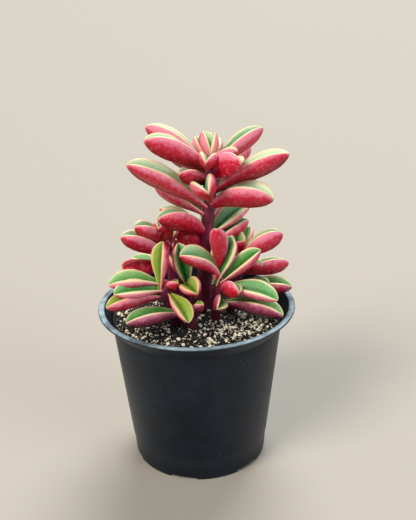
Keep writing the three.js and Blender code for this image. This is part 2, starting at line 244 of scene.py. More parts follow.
shoots = {
    "main_shoot": {
        "route": [[5, 4, 68], [5, 2, 100], [6, 0.5, 125], [8, 0, 145], [9, 0, 165]],
        "radii": [3.3, 3],
        "leaves": [
            [112, 95, 20, 34, -10, 34, 0, 8.5],
            [114, 20, 30, 30, -5, 36, 0, 8.5],
            [122, 165, 35, 30, -10, 34, 0, 8],
            [106, 200, 60, 27, 0, 42, 60, 9.5],
            [126, 60, 35, 34, -15, 34, 0, 8.5],
            [119.5, 212, 58, 36, -52, 28, 0, 9.5],
            [122, 28, 34, 32, -10, 40, 22, 8.5],
            [129, 120, 62, 14, -5, 30, 0, 5],
            [133, 168, 40, 33, -20, 30, -14, 8.5],
            [135.5, 330, 45, 40, -55, 26, 4, 11],
            [136, 196, 46, 53, -22, 27, -20, 10],
            [141, 70, 40, 36, -12, 32, 0, 9],
            [144.5, 270, 36, 27, -30, 26, 22, 11.5],
            [144, 345, 37, 49, -14, 27, 8, 9.5],
            [147, 115, 35, 36, -12, 30, 0, 9],
            [150.5, 227, 32, 27, -10, 30, 0, 7],
            [151, 42, 28, 34, -12, 30, 0, 8.5],
            [152, 156, 38, 32, -12, 28, 0, 8],
            [153, 305, 42, 29, -24, 27, -25, 9.5],
            [155, 198, 47, 42, -30, 27, -2, 10],
            [155, 80, 36, 28, -10, 30, 0, 8.5],
            [157.5, 171, 45, 41, -22, 28, 6, 9],
            [158, 13, 38, 36, -8, 26, 4, 8],
            [160, 259, 36, 19, -25, 26, -4, 8],
            [160, 330, 44, 20, -20, 25, 0, 6],
            [160, 128, 52, 20, -10, 30, 0, 7],
            [159, 200, 40, 12, -20, 27, 0, 5],
            [161, 138, 68, 20, 0, 26, 0, 7.5],
            [161, 52, 68, 19, 0, 28, 0, 7.5],
            [161, 30, 70, 10, 0, 26, 0, 4],
        ],
    },
    "left_back_shoot": {
        "route": [[-8, 5, 68], [-11, 4, 95], [-14, 3, 117]],
        "radii": [3.1, 2.7],
        "leaves": [
            [101, 150, 10, 28, -5, 34, 0, 8],
            [113.5, 205, 2, 27, 4, 38, 150, 8],
            [108, 100, 25, 28, -10, 34, 0, 8],
            [109, 205, 40, 35, -14, 28, -10, 8.5],
            [113, 160, 40, 24, -10, 32, 0, 7.5],
            [115.5, 216, 52, 29, -26, 32, -10, 8],
            [115, 60, 50, 22, -10, 32, 0, 7],
            [116.5, 250, 64, 22, -32, 30, 0, 8],
        ],
    },
    "left_shoot": {
        "route": [[-8, -10, 68], [-13, -17, 92], [-17, -21, 107]],
        "radii": [2.9, 2.6],
        "leaves": [
            [98, 204, 14, 34, -22, 34, 0, 7.5],
            [99, 150, 12, 28, -20, 34, 0, 7.5],
            [102.5, 199, 20, 28, -26, 38, -22, 8],
            [105, 182, 24, 28, -40, 36, -12, 8.5],
            [101, 294, 10, 25, -46, 46, -10, 6.5],
            [105.5, 45, 84, 26, -4, 32, 0, 7.5],
            [104, 330, 40, 10, -20, 34, -10, 4.5],
            [104, 240, 64, 8, 0, 30, 0, 3.5],
        ],
    },
    "front_left_shoot": {
        "route": [[-2, -15, 68], [-3, -20, 84], [-4, -25, 94]],
        "radii": [2.3, 2.1],
        "leaves": [
            [89.5, 205, 13, 36, -14, 40, 4, 8.5],
            [92, 330, 40, 11, -10, 34, 0, 5],
        ],
    },
    "middle_shoot": {
        "route": [[0, -7, 68], [-3, -9, 92], [-7, -11, 107]],
        "radii": [2.9, 2.6],
        "leaves": [
            [100, 287, 30, 21, -36, 32, 24, 8.5],
            [101, 156, 78, 26, 0, 36, -44, 8],
            [101, 120, 40, 22, -10, 32, 0, 7],
        ],
    },
    "right_front_shoot": {
        "route": [[8, -8, 68], [10, -12, 92], [11, -14, 107]],
        "radii": [2.7, 2.5],
        "leaves": [
            [89.5, 338, 10, 36, -26, 38, -4, 9],
            [95, 262, 10, 17, -10, 28, -52, 6.5],
            [99, 336, 17, 33, -38, 42, 14, 8],
            [99, 300, 22, 20, -14, 26, -30, 7],
            [101.5, 0, 42, 31, -6, 34, 24, 7.5],
            [103, 205, 66, 31, -50, 36, -22, 9],
            [104, 40, 66, 26, -6, 48, 20, 8.5],
            [106, 262, 80, 31, -10, 26, 0, 8],
            [104, 316, 78, 10, 0, 26, 60, 3.5],
        ],
    },
    "right_shoot": {
        "route": [[17, 2, 68], [20, 1, 92], [23, -1, 112]],
        "radii": [2.9, 2.6],
        "leaves": [
            [94, 328, 18, 22, -10, 34, -10, 7],
            [91, 350, 14, 32, -16, 30, 8, 8],
            [100.5, 8, 12, 30, -10, 32, -14, 8],
            [104, 335, 22, 16, -10, 30, -10, 6],
            [108, 70, 35, 26, -12, 32, 0, 7.5],
            [109, 355, 40, 29, -18, 27, -6, 9],
            [111, 110, 60, 18, -8, 32, 0, 6.5],
            [111, 300, 70, 13, -6, 30, 0, 5],
        ],
    },
    "back_shoot": {
        "route": [[3, 17, 68], [4, 20, 92], [5, 22, 108]],
        "radii": [2.9, 2.6],
        "leaves": [
            [95, 60, 8, 28, -10, 36, 0, 8],
            [96, 125, 10, 28, -10, 36, 0, 8],
            [99, 90, 25, 28, -14, 34, 0, 8],
            [101, 20, 25, 25, -12, 34, 0, 7.5],
            [102, 155, 30, 26, -12, 34, 0, 7.5],
            [105, 70, 50, 24, -10, 32, 0, 7.5],
            [106, 190, 60, 20, -8, 32, 0, 7],
            [107, 120, 68, 19, -6, 30, 0, 7],
            [107, 330, 72, 14, -6, 30, 0, 5.5],
        ],
    },
}

leafSettings = {
    "seed": 7, "rings": 30, "ringCrowding": 1.6,
    # shares of the height of a side: thickness, keel, fold, bulges, and how far the tip rises
    "sideThick": 0.36, "keelDrop": 0.26, "foldRise": 0.3, "sideBulge": 0.13, "puff": 0.06, "tipRise": 0.35,
    "rootOffset": 0.45, "unevenness": 0.035, "waves": 9, "waveStart": 6.28,
    # share of the full side height at each share of the length, smoothed over some samples
    "outline": [[0, 0.2], [0.08, 0.22], [0.18, 0.32], [0.3, 0.5], [0.42, 0.73], [0.56, 0.94],
                [0.7, 1.0], [0.82, 0.88], [0.92, 0.69], [1, 0.5]],
    "outlineSpan": (-0.1, 1.1), "outlineSamples": 241, "outlineBlur": 23, "tipStart": 0.84,
    # undersides turn from ruby to plum below a height
    "plumBelow": 106, "plumOver": 18, "plumSpread": 0.25,
    # short leaves look young, and so do some leaves with olive windows
    "youngBelow": 22, "youngOver": 14, "youngSpread": 0.2, "oliveYouth": 0.85,
    "oliveLeaves": {"leftShootLeaves": [0, 4, 5], "middleShootLeaves": [0]},
    # leaves lit strongly from above, lifted paler as a painted highlight; the others are lifted at random
    "brightLeaves": {
        ("rightFrontShootLeaves", 7): 0.3, ("rightShootLeaves", 5): 0.12, ("mainShootLeaves", 18): 0.14,
        ("mainShootLeaves", 21): 0.3, ("mainShootLeaves", 22): 0.25, ("mainShootLeaves", 24): 0.35,
        ("mainShootLeaves", 25): 0.3, ("mainShootLeaves", 27): 0.3, ("mainShootLeaves", 28): 0.15,
    },
    "liftSpread": 0.08,
    # windows that are deeper (below 0) or milkier than the rest
    "windowTones": {
        ("leftShootLeaves", 1): 0.34, ("frontLeftShootLeaves", 0): -0.16,
        ("rightFrontShootLeaves", 6): -0.2, ("rightFrontShootLeaves", 4): -0.12,
        ("rightFrontShootLeaves", 0): 0.05, ("mainShootLeaves", 22): -0.3,
        ("mainShootLeaves", 10): 0.05, ("mainShootLeaves", 13): 0.12,
    },
    "windowSpread": 0.2,
}


def curvePoint(points, share):
    # the point at a share of a centripetal spline through the points, the same as in part.mjs
    count = len(points) - 1
    place = min(share, 1 - 1e-9) * count
    k = int(place)
    t = place - k
    p = [np.array(q, float) for q in points]
    p1, p2 = p[k], p[k + 1]
    p0 = p[k - 1] if k > 0 else 2 * p1 - p2
    p3 = p[k + 2] if k + 2 <= count else 2 * p2 - p1
    d0, d1, d2 = (max(np.sum((b - a) ** 2) ** 0.25, 1e-6) for a, b in ((p0, p1), (p1, p2), (p2, p3)))
    m1 = ((p1 - p0) / d0 - (p2 - p0) / (d0 + d1) + (p2 - p1) / d1) * d1
    m2 = ((p2 - p1) / d1 - (p3 - p1) / (d1 + d2) + (p3 - p2) / d2) * d1
    return (p1 + m1 * t + (3 * (p2 - p1) - 2 * m1 - m2) * t * t
            + (2 * (p1 - p2) + m1 + m2) * t ** 3)


def stemPointAt(route, height):
    # the share of the route is halved until it gives the height
    low, high = 0.0, 1.0
    for _ in range(24):
        middle = (low + high) / 2
        if curvePoint(route, middle)[2] < height:
            low = middle
        else:
            high = middle
    return curvePoint(route, low)


def leafSection(fold, cfg):
    # closed outline of one leaf's folded section for a side of height 1, each point with its place
    # across the side (0 at the fold or keel, 1 at the rim) and its share of the upper face
    lean = math.radians(fold)
    along = np.array([math.sin(lean), math.cos(lean)])
    out = np.array([math.cos(lean), -math.sin(lean)])
    half = cfg["sideThick"] / 2

    def at(share, offset):
        return along * share + out * (cfg["sideBulge"] * math.sin(math.pi * min(share, 1)) + offset)

    valley = np.array([0, cfg["foldRise"]])
    rimInside = at(0.93, -half * 0.75)
    inside = rimInside - valley
    puff = np.array([-inside[1], inside[0]]) * cfg["puff"]
    # one side, from the fold up the upper face, round the rim and down to the keel
    side = [
        (valley + inside * 0.1 + puff * 0.3, 0.08, 1), (valley + inside * 0.32 + puff, 0.3, 1),
        (valley + inside * 0.56 + puff * 1.2, 0.52, 1), (valley + inside * 0.8 + puff, 0.75, 1),
        (at(0.95, -half * 0.72), 0.92, 1), (at(1.02, -half * 0.35), 0.99, 0.8),
        (at(1.05, half * 0.15), 1.0, 0.45), (at(1.01, half * 0.72), 0.97, 0.12),
        (at(0.9, half * 1.0), 0.88, 0), (at(0.72, half * 1.06), 0.72, 0),
        (at(0.5, half * 1.06), 0.5, 0), (at(0.28, half * 1.04), 0.3, 0),
        (at(0.08, half * 0.98), 0.12, 0), (np.array([half * 0.55, -cfg["keelDrop"] * 0.86]), 0.04, 0),
    ]
    ring = [(*valley, 0, 1)] + [(*p, a, u) for p, a, u in side]
    ring += [(0, -cfg["keelDrop"] * 1.06, 0, 0)] + [(-p[0], p[1], a, u) for p, a, u in reversed(side)]
    # a smooth spline round the control points, read at each point and halfway between
    control = np.array(ring, float)
    before, after, later = (np.roll(control, -k, 0) for k in (-1, 1, 2))
    onControl = (before + 4 * control + after) / 6
    between = (before + 23 * control + 23 * after + later) / 48
    return np.stack([onControl, between], 1).reshape(-1, 4)


def leafSize(shares, cfg):
    fine = np.linspace(*cfg["outlineSpan"], cfg["outlineSamples"])
    table = np.interp(fine, *np.array(cfg["outline"]).T)
    kernel = np.hanning(cfg["outlineBlur"])
    table = np.convolve(np.pad(table, len(kernel) // 2, "edge"), kernel / kernel.sum(), "valid")
    size = np.interp(shares, fine, table)
    tip = np.clip((shares - cfg["tipStart"]) / (1 - cfg["tipStart"]), 0, 1)
    return size * np.sqrt(np.clip(1 - tip ** 2, 0, 1))


def ringFaces(count, rings):
    # quads between neighbouring rings; the two points after them close the last and the first ring
    faces = []
    for low in range(0, (rings - 1) * count, count):
        for i in range(count):
            j = (i + 1) % count
            faces.append((low + i, low + j, low + count + j, low + count + i))
    last, tipPoint = (rings - 1) * count, rings * count
    for i in range(count):
        j = (i + 1) % count
        faces.append((last + i, last + j, tipPoint))
        faces.append((j, i, tipPoint + 1))
    return faces


def leafMesh(route, row, cfg, draw):
    height, turn, rise, length, bend, fold, roll, side = row
    section = leafSection(fold, cfg)
    level = np.array([math.cos(math.radians(turn)), math.sin(math.radians(turn)), 0])
    up = np.array([0, 0, 1.0])
    root = stemPointAt(route, height) - level * cfg["rootOffset"]
    shares = 1 - (1 - np.arange(cfg["rings"]) / cfg["rings"]) ** cfg["ringCrowding"]
    sizes = leafSize(shares, cfg)
    wave = draw.uniform(0, cfg["waveStart"])
    sway = draw.uniform(-1, 1) * cfg["unevenness"]
    place = root
    before = 0.0
    vertices, marks = [], []
    for share, size in zip(shares, sizes):
        middle = math.radians(rise + bend * (share + before) / 2)
        place = place + length * (share - before) * (level * math.cos(middle) + up * math.sin(middle))
        before = share
        pitch = math.radians(rise + bend * share)
        ahead = level * math.cos(pitch) + up * math.sin(pitch)
        across = np.cross(ahead, up)
        across /= np.linalg.norm(across)
        above = np.cross(across, ahead)
        c, s = math.cos(math.radians(roll)), math.sin(math.radians(roll))
        across, above = across * c - above * s, above * c + across * s
        reach = side * size
        lift = side * cfg["tipRise"] * (1 - size)
        swell = 1 + cfg["unevenness"] * math.sin(share * cfg["waves"] + wave)
        drift = length * sway * math.sin(share * math.pi)
        for a, b, acrossShare, upper in section:
            vertices.append(place + across * (a * reach * swell + drift) + above * (b * reach + lift))
            marks.append((acrossShare, upper, share))
    tip = math.radians(rise + bend)
    place = place + length * (1 - before) * (level * math.cos(tip) + up * math.sin(tip))
    vertices += [place + above * side * cfg["tipRise"], root]
    marks += [(0.9, 0.3, 1), (0, 0, 0)]
    return vertices, ringFaces(len(section), cfg["rings"]), marks


def leafTones(name, index, row, cfg, draw):
    # how plum and young a leaf is, how far it is lifted paler, at random or as a painted highlight,
    # and how milky its window
    olive = cfg["oliveYouth"]
    if index not in cfg["oliveLeaves"].get(name, []):
        olive = draw.uniform(0, cfg["youngSpread"])
    young = max((cfg["youngBelow"] - row[3]) / cfg["youngOver"], olive)
    plum = (cfg["plumBelow"] - row[0]) / cfg["plumOver"]
    plum += draw.uniform(-cfg["plumSpread"], cfg["plumSpread"])
    lift = draw.uniform(-cfg["liftSpread"], cfg["liftSpread"])
    window = draw.uniform(-0.5, 0.5) * cfg["windowSpread"]
    return (np.clip(plum, 0, 1), np.clip(young, 0, 1), cfg["brightLeaves"].get((name, index), lift),
            cfg["windowTones"].get((name, index), window))


def leavesPiece(name, shoot, cfg, draw):
    vertices, faces, marks, tones = [], [], [], []
    for index, row in enumerate(shoot["leaves"]):
        points, polygons, marked = leafMesh(shoot["route"], row, cfg, draw)
        start = len(vertices)
        vertices += [p * mm for p in points]
        faces += [tuple(start + i for i in polygon) for polygon in polygons]
        marks += marked
        tones += [leafTones(name, index, row, cfg, draw)] * len(points)
    piece = meshObject(name, vertices, faces)
    labels = ("across", "upperFace", "along", "leafTone", "youth", "lift", "windowTone")
    for label, values in zip(labels, [*zip(*marks), *zip(*tones)]):
        markPoints(piece.data, label, values)
    fixNormals(piece)
    return piece


# Stem: a round tube that swells a little where leaves grow and ends in a rounded tip

stemSettings = {
    "sides": 22, "points": 40, "swelling": 0.09, "swellingReach": 2.2, "widest": 1.12,
    # how far past the end and how thick, as shares of the last radius
    "tip": [[0.35, 0.92], [0.6, 0.7], [0.75, 0.35]],
}


def stemTree():
    # a round stem along a line, as thick as the line's stored radius
    tree, given = newTree("roundStem", {"Line": "Geometry", "Sides": "Int", "Finish": "Material"}, "Stem")
    thickness = addNode(tree, "GeometryNodeInputNamedAttribute", {"data_type": "FLOAT"},
                        {"Name": "stemRadius"}).outputs["Attribute"]
    curve = addNode(tree, "GeometryNodeMeshToCurve", inputs={"Mesh": given["Line"]})
    ring = addNode(tree, "GeometryNodeCurvePrimitiveCircle",
                   inputs={"Resolution": given["Sides"], "Radius": 1.0})
    tube = addNode(tree, "GeometryNodeCurveToMesh",
                   inputs={"Curve": curve.outputs["Curve"], "Profile Curve": ring.outputs["Curve"],
                           "Scale": thickness, "Fill Caps": True})
    smooth = addNode(tree, "GeometryNodeSetShadeSmooth", inputs={"Geometry": tube.outputs["Mesh"]})
    endTree(tree, smooth.outputs["Geometry"], given["Finish"], "Stem")
    return tree


def stemPiece(name, shoot, cfg, tree, finish):
    low, high = shoot["radii"]
    heights = [row[0] for row in shoot["leaves"]]
    points, radii = [], []
    for k in range(cfg["points"]):
        share = k / (cfg["points"] - 1)
        middle = curvePoint(shoot["route"], share)
        radius = low + (high - low) * share
        nearness = (math.exp(-((middle[2] - h) / cfg["swellingReach"]) ** 2) for h in heights)
        radius *= 1 + sum(cfg["swelling"] * near for near in nearness) / 2
        points.append(middle)
        radii.append(min(radius, low * cfg["widest"]))
    end = points[-1]
    ahead = end - points[-2]
    ahead /= np.linalg.norm(ahead)
    for lift, share in cfg["tip"]:
        points.append(end + ahead * high * lift)
        radii.append(high * share)
    mesh = bpy.data.meshes.new(name)
    mesh.from_pydata([tuple(p * mm) for p in points], [(k, k + 1) for k in range(len(points) - 1)], [])
    markPoints(mesh, "stemRadius", np.array(radii, np.float32) * mm)
    line = linkObject(name + "Line", mesh)
    piece = runTree(line, tree, {"Sides": cfg["sides"], "Finish": finish}, name)
    fixNormals(piece)
    return piece


# Leaf: living succulent tissue under a clear waxy skin. Ruby pigment fills the underside, darker
# at the keel as painted shade; a painted highlight pales it in a band that runs to a cream rim,
# and a green window lies along the fold of the upper face.

leafColors = {
    # undersides from the keel (0) to the rim (1): the pigment, darker at the keel as painted shade
    # and paler towards the rim as a painted highlight
    "ruby": [(0.0, "8a081c"), (0.28, "c00a2c"), (0.7, "d6264c"), (1.0, "f08ea6")],
    "plum": [(0.0, "3c0c20"), (0.35, "701a3a"), (0.75, "9c385a"), (1.0, "cf8098")],
    "plumTones": (0.3, 0.95),
    # windows from deep to milky, on low leaves and, paler as a painted sky reflection, on high ones,
    # and on young ones from the fold out
    "window": [(0.1, "1c5820"), (0.5, "3f9042"), (1.0, "9cd094")],
    "skySheenWindow": [(0.2, "34743c"), (0.55, "7cb488"), (0.9, "cbe2c0")],
    "youngWindow": [(0.0, "5f7a1c"), (0.5, "9cb53c")],
    # heights over which windows turn to the paler ramp, a painted sky reflection on leaves facing up
    "skySheenFrom": 112, "skySheenTo": 150, "milkyAlong": 0.55, "milkyAcross": 0.5,
    "rim": "f3e0b4", "youngRim": "efc98e", "rimShare": 0.85, "rimOutside": (0.22, 0.5),
    "rimInside": (0.72, 0.98), "rimFromRoot": (0.05, 0.25), "rimFade": (0.82, 0.97), "rimFadeShare": 0.7,
    "upperFrom": (0.3, 0.55), "tipBand": (0.97, 1.0), "tipShare": 0.5,
    # soft patches, and cells drawn coarser than the real ones so that they show; pale dots on some
    # cells are painted glints on the undersides and the windows' own pale frost
    "skinPatch": 2.2, "patchDetail": 4.0, "patchRoughness": 0.6, "patchReach": 0.5, "rimWander": 0.2,
    "cell": 0.8, "glint": "ffccd6", "glintShare": 0.42, "frost": "d8ecc8", "frostShare": 0.25,
    "sparkleCells": (0.15, 0.45), "sparklePatches": (0.42, 0.62),
    "cellBump": (0.35, 0.1), "patchBump": (0.4, 0.5), "roughness": 0.38, "roughReach": (0.08, 0.14),
    "glow": 0.1, "glowDepth": 1.2, "wax": 0.12, "shine": 0.36,
}


def leafFinish(cfg):
    material, tree, shader = newMaterial("succulentLeafSkin")
    place = objectPlace(tree)
    height = heightAt(tree, place)

    def mark(label):
        return addNode(tree, "ShaderNodeAttribute", {"attribute_name": label}).outputs["Fac"]

    def times(*values):
        return mathNode(tree, "MULTIPLY", *values)

    across, upper, along = (mark(k) for k in ("across", "upperFace", "along"))
    tone, youth, lift = (mark(k) for k in ("leafTone", "youth", "lift"))
    patch = noiseTexture(tree, place, cfg["skinPatch"], cfg["patchDetail"], cfg["patchRoughness"])
    cells = cellTexture(tree, place, cfg["cell"])
    patchShift = mathNode(tree, "MULTIPLY_ADD", patch, cfg["patchReach"], -cfg["patchReach"] / 2)
    # lift moves a leaf along its ramps: at random, and as a painted highlight on leaves lit from above
    level = mathNode(tree, "ADD", mathNode(tree, "ADD", across, patchShift), lift)
    # the ruby and plum ramps paint shade towards the keel and a highlight towards the rim
    under = mixColor(tree, softStep(tree, tone, *cfg["plumTones"]),
                     colorRamp(tree, level, cfg["ruby"]), colorRamp(tree, level, cfg["plum"]))
    # pale dots on the cells: painted glints on the undersides, and pale frost on the windows
    sparkle = mathNode(tree, "SUBTRACT", 1.0, softStep(tree, cells, *cfg["sparkleCells"]))
    sparkle = times(sparkle, softStep(tree, patch, *cfg["sparklePatches"]))
    under = mixColor(tree, times(sparkle, cfg["glintShare"]), under, linearColor(cfg["glint"]))
    # a window is deepest by the stalk and along the fold, and milky near the tip
    milky = mathNode(tree, "MULTIPLY_ADD", level, cfg["milkyAcross"], mark("windowTone"))
    milky = mathNode(tree, "MULTIPLY_ADD", along, cfg["milkyAlong"], milky)
    # high leaves take the paler ramp: a painted sky reflection on their windows
    green = mixColor(tree, softStep(tree, height, cfg["skySheenFrom"] * mm, cfg["skySheenTo"] * mm),
                     colorRamp(tree, milky, cfg["window"]), colorRamp(tree, milky, cfg["skySheenWindow"]))
    green = mixColor(tree, youth, green, colorRamp(tree, level, cfg["youngWindow"]))
    green = mixColor(tree, times(sparkle, cfg["frostShare"]), green, linearColor(cfg["frost"]))
    rim = mixColor(tree, youth, linearColor(cfg["rim"]), linearColor(cfg["youngRim"]))
    wander = mathNode(tree, "MULTIPLY_ADD", patchShift, cfg["rimWander"], across)
    fade = times(softStep(tree, wander, *cfg["rimFade"]), cfg["rimFadeShare"])
    inside = mixColor(tree, fade, green, rim)
    skin = mixColor(tree, softStep(tree, upper, *cfg["upperFrom"]), under, inside)
    # the cream line lies where the upper face turns over, and fades out towards the root
    rimLine = times(softStep(tree, upper, *cfg["rimOutside"]),
                    mathNode(tree, "SUBTRACT", 1.0, softStep(tree, upper, *cfg["rimInside"])))
    rimLine = times(rimLine, softStep(tree, along, *cfg["rimFromRoot"]))
    skin = mixColor(tree, times(rimLine, cfg["rimShare"]), skin, rim)
    skin = mixColor(tree, times(softStep(tree, along, *cfg["tipBand"]), cfg["tipShare"]), skin, rim)
    setColor(tree, shader, skin)
    setRoughness(tree, shader, patch, cfg["roughness"], cfg["roughReach"])
    setBump(tree, shader, (cells, cfg["cellBump"]), (patch, cfg["patchBump"]))
    shader.inputs["Subsurface Weight"].default_value = cfg["glow"]
    shader.inputs["Subsurface Radius"].default_value = (1.0, 0.35, 0.25)
    shader.inputs["Subsurface Scale"].default_value = cfg["glowDepth"] * mm
    shader.inputs["IOR"].default_value = 1.42
    shader.inputs["Specular IOR Level"].default_value = cfg["shine"]
    shader.inputs["Coat Weight"].default_value = cfg["wax"]
    shader.inputs["Coat Roughness"].default_value = 0.3
    return material


# Stem skin: fleshy and plum-coloured, faintly waxy, in soft patches stretched along the stem

stemColors = {
    "skin": [(0.25, "360618"), (0.5, "661034"), (0.8, "9a3a66")], "patch": 3.0, "patchDetail": 5.0,
    "stretch": 0.35, "bump": (0.4, 0.4), "roughness": 0.5, "glow": 0.1, "glowDepth": 1.0,
}


def stemFinish(cfg):
    material, tree, shader = newMaterial("fleshyStemSkin")
    stretched = addNode(tree, "ShaderNodeMapping",
                        inputs={"Vector": objectPlace(tree), "Scale": (1, 1, cfg["stretch"])})
    patch = noiseTexture(tree, stretched.outputs["Vector"], cfg["patch"], cfg["patchDetail"])
    setColor(tree, shader, colorRamp(tree, patch, cfg["skin"]))
    setBump(tree, shader, (patch, cfg["bump"]))
    shader.inputs["Roughness"].default_value = cfg["roughness"]
    shader.inputs["Subsurface Weight"].default_value = cfg["glow"]
    shader.inputs["Subsurface Scale"].default_value = cfg["glowDepth"] * mm
    return material


leafSkin = leafFinish(leafColors)
stemSkin = stemFinish(stemColors)
roundStem = stemTree()
draw = random.Random(leafSettings["seed"])
for node, shoot in shoots.items():
    first, *others = node.split("_")
    name = first + "".join(word.title() for word in others)
    leaves = leavesPiece(name + "Leaves", shoot, leafSettings, draw)
    leaves.data.materials.append(leafSkin)
    placePiece(leaves, "leaves", node)
    stem = stemPiece(name + "Stem", shoot, stemSettings, roundStem, stemSkin)
    placePiece(stem, "leaves", node)
    print("shoot ready:", node, len(leaves.data.polygons), "leaf faces")


# Pot: round tapered nursery pot, a thin polypropylene shell, in millimetres

potSettings = {
    "rimRadius": 52.5, "height": 88, "footRadius": 36.4, "neckRadius": 45.6, "neckHeight": 79.5,
    "wall": 1.2, "lipDrop": 1.7, "lipWidth": 3.4, "floorLift": 2.4, "floorThick": 1.4,
    "footWidth": 5, "footSpread": 0.9, "wallFoot": 12, "stepOut": 0.4, "stepHigh": 0.6,
    "sides": 180, "lipPoints": 9, "sharpAngle": 40,
    "notches": 6, "notchTurn": 13, "notchWidth": 15, "notchHeight": 1.7, "notchGap": 0.6, "notchReach": 5,
    "drainCircle": 23, "drainRadius": 3.5, "drainSides": 32, "middleDrainRadius": 5,
    "middleDrainSides": 40, "drillDepth": 8,
}


def potProfile(cfg):
    # radius and height of each corner, up the outside and down the inside; small numbers round edges
    rim, height, foot, neck = cfg["rimRadius"], cfg["height"], cfg["footRadius"], cfg["neckRadius"]
    step, high, wall = cfg["stepOut"], cfg["stepHigh"], cfg["wall"]
    wallFoot, neckHeight, floorLift = cfg["wallFoot"], cfg["neckHeight"], cfg["floorLift"]
    lipInner = rim - cfg["lipWidth"]
    under = height - cfg["lipDrop"]
    flareFoot, flareTop = neck + step / 2, lipInner + 1
    wallStep = foot + cfg["footSpread"] + step
    floorTop = floorLift + cfg["floorThick"]
    drop = cfg["lipDrop"] / 2
    lip = [[rim - drop + drop * math.sin(a), height - drop - drop * math.cos(a)]
           for a in np.linspace(0, math.pi, cfg["lipPoints"])]
    outside = [
        [foot - 1.2, 0], [foot - 0.45, 0.12], [foot - 0.12, 0.45], [foot, 1.2], [foot + 0.45, 6],
        [wallStep - step, wallFoot], [wallStep - step * 0.5, wallFoot + high * 0.4],
        [wallStep, wallFoot + high], [wallStep + 0.4, wallFoot + 4],
        [neck - step, neckHeight - high - 1.6], [neck - step - 0.25, neckHeight - high],
        [neck - step * 0.3, neckHeight - 0.2], [flareFoot, neckHeight + 0.3],
        [flareFoot + (flareTop - flareFoot) * 0.5, (neckHeight + under) / 2 - 0.1],
        [flareTop - 0.4, under - high - 0.5], [flareTop + 0.3, under - 0.1],
    ]
    inside = [
        [lipInner + 0.7, height - 0.02], [lipInner + 0.2, height - 0.35], [lipInner, height - 1.2],
        [flareFoot - wall + 0.15, neckHeight + 1], [flareFoot - wall, neckHeight + 0.2],
        [wallStep - wall, wallFoot], [foot - wall - high, floorTop + 0.3],
        [foot - wall - high * 2, floorTop], [0, floorTop], [0, floorLift],
        [foot - cfg["footWidth"], floorLift], [foot - cfg["footWidth"] + step, 0],
    ]
    return outside + lip + inside


def latheObject(name, profile, sides):
    vertices, rings = [], []
    for radius, height in profile:
        if radius == 0:
            rings.append([len(vertices)] * sides)
            vertices.append(Vector((0, 0, height)) * mm)
            continue
        rings.append(list(range(len(vertices), len(vertices) + sides)))
        for i in range(sides):
            angle = 2 * math.pi * i / sides
            vertices.append(Vector((radius * math.cos(angle), radius * math.sin(angle), height)) * mm)
    faces = []
    for low, high in zip(rings, rings[1:] + rings[:1]):
        for i in range(sides):
            j = (i + 1) % sides
            corners = list(dict.fromkeys((low[i], low[j], high[j], high[i])))
            if len(corners) > 2:
                faces.append(corners)
    return meshObject(name, vertices, faces)


def cutterObject(cfg):
    # the notches under the foot ring and the drain holes, as one shape to cut with
    shape = bmesh.new()

    def drill(x, y, radius, sides):
        bmesh.ops.create_cone(shape, cap_ends=True, segments=sides, radius1=radius * mm,
                              radius2=radius * mm, depth=cfg["drillDepth"] * mm,
                              matrix=Matrix.Translation((x, y, cfg["floorLift"] * mm)))

    circle = cfg["drainCircle"] * mm
    inner = cfg["drainCircle"] + cfg["drainRadius"] + cfg["notchGap"]
    outer = cfg["footRadius"] + cfg["notchReach"]
    size = ((outer - inner) * mm, cfg["notchWidth"] * mm, cfg["notchHeight"] * 2 * mm, 1)
    for i in range(cfg["notches"]):
        angle = 2 * math.pi * i / cfg["notches"] + math.radians(cfg["notchTurn"])
        box = (Matrix.Rotation(angle, 4, "Z") @ Matrix.Translation(((inner + outer) / 2 * mm, 0, 0))
               @ Matrix.Diagonal(size))
        bmesh.ops.create_cube(shape, size=1, matrix=box)
        drill(circle * math.cos(angle), circle * math.sin(angle), cfg["drainRadius"], cfg["drainSides"])
    drill(0, 0, cfg["middleDrainRadius"], cfg["middleDrainSides"])
    return bmeshObject("potCutters", shape)


# Pot plastic: injection-moulded polypropylene, nearly black with a blue cast. The mould leaves
# a fine grain and a low sheen, and handling leaves pale scuffs. The pale blue along the top of
# the lip is a painted reflection of the sky.

plasticColors = {
    "wall": [(0.35, "060e18"), (0.75, "112030")],
    "blotch": 14.0, "blotchDetail": 6.0, "blotchRoughness": 0.65,
    "scuff": 1.1, "scuffDetail": 3.0, "scuffColor": "7f8a96", "scuffEdges": (0.66, 0.76),
    "scuffBlotches": (0.5, 0.62), "scuffShare": 0.6,
    # a painted sky reflection along the top of the lip, broken up by the blotches
    "lip": "b2d0de", "lipSheenFrom": 87.2, "lipTo": 88.1, "lipSheenBlotches": (0.2, 0.75),
    "grain": 0.5, "grainBump": (0.12, 0.1), "blotchBump": (0.25, 0.8),
    "shine": 0.27, "roughness": 0.36, "roughReach": (0.1, 0.18),
}


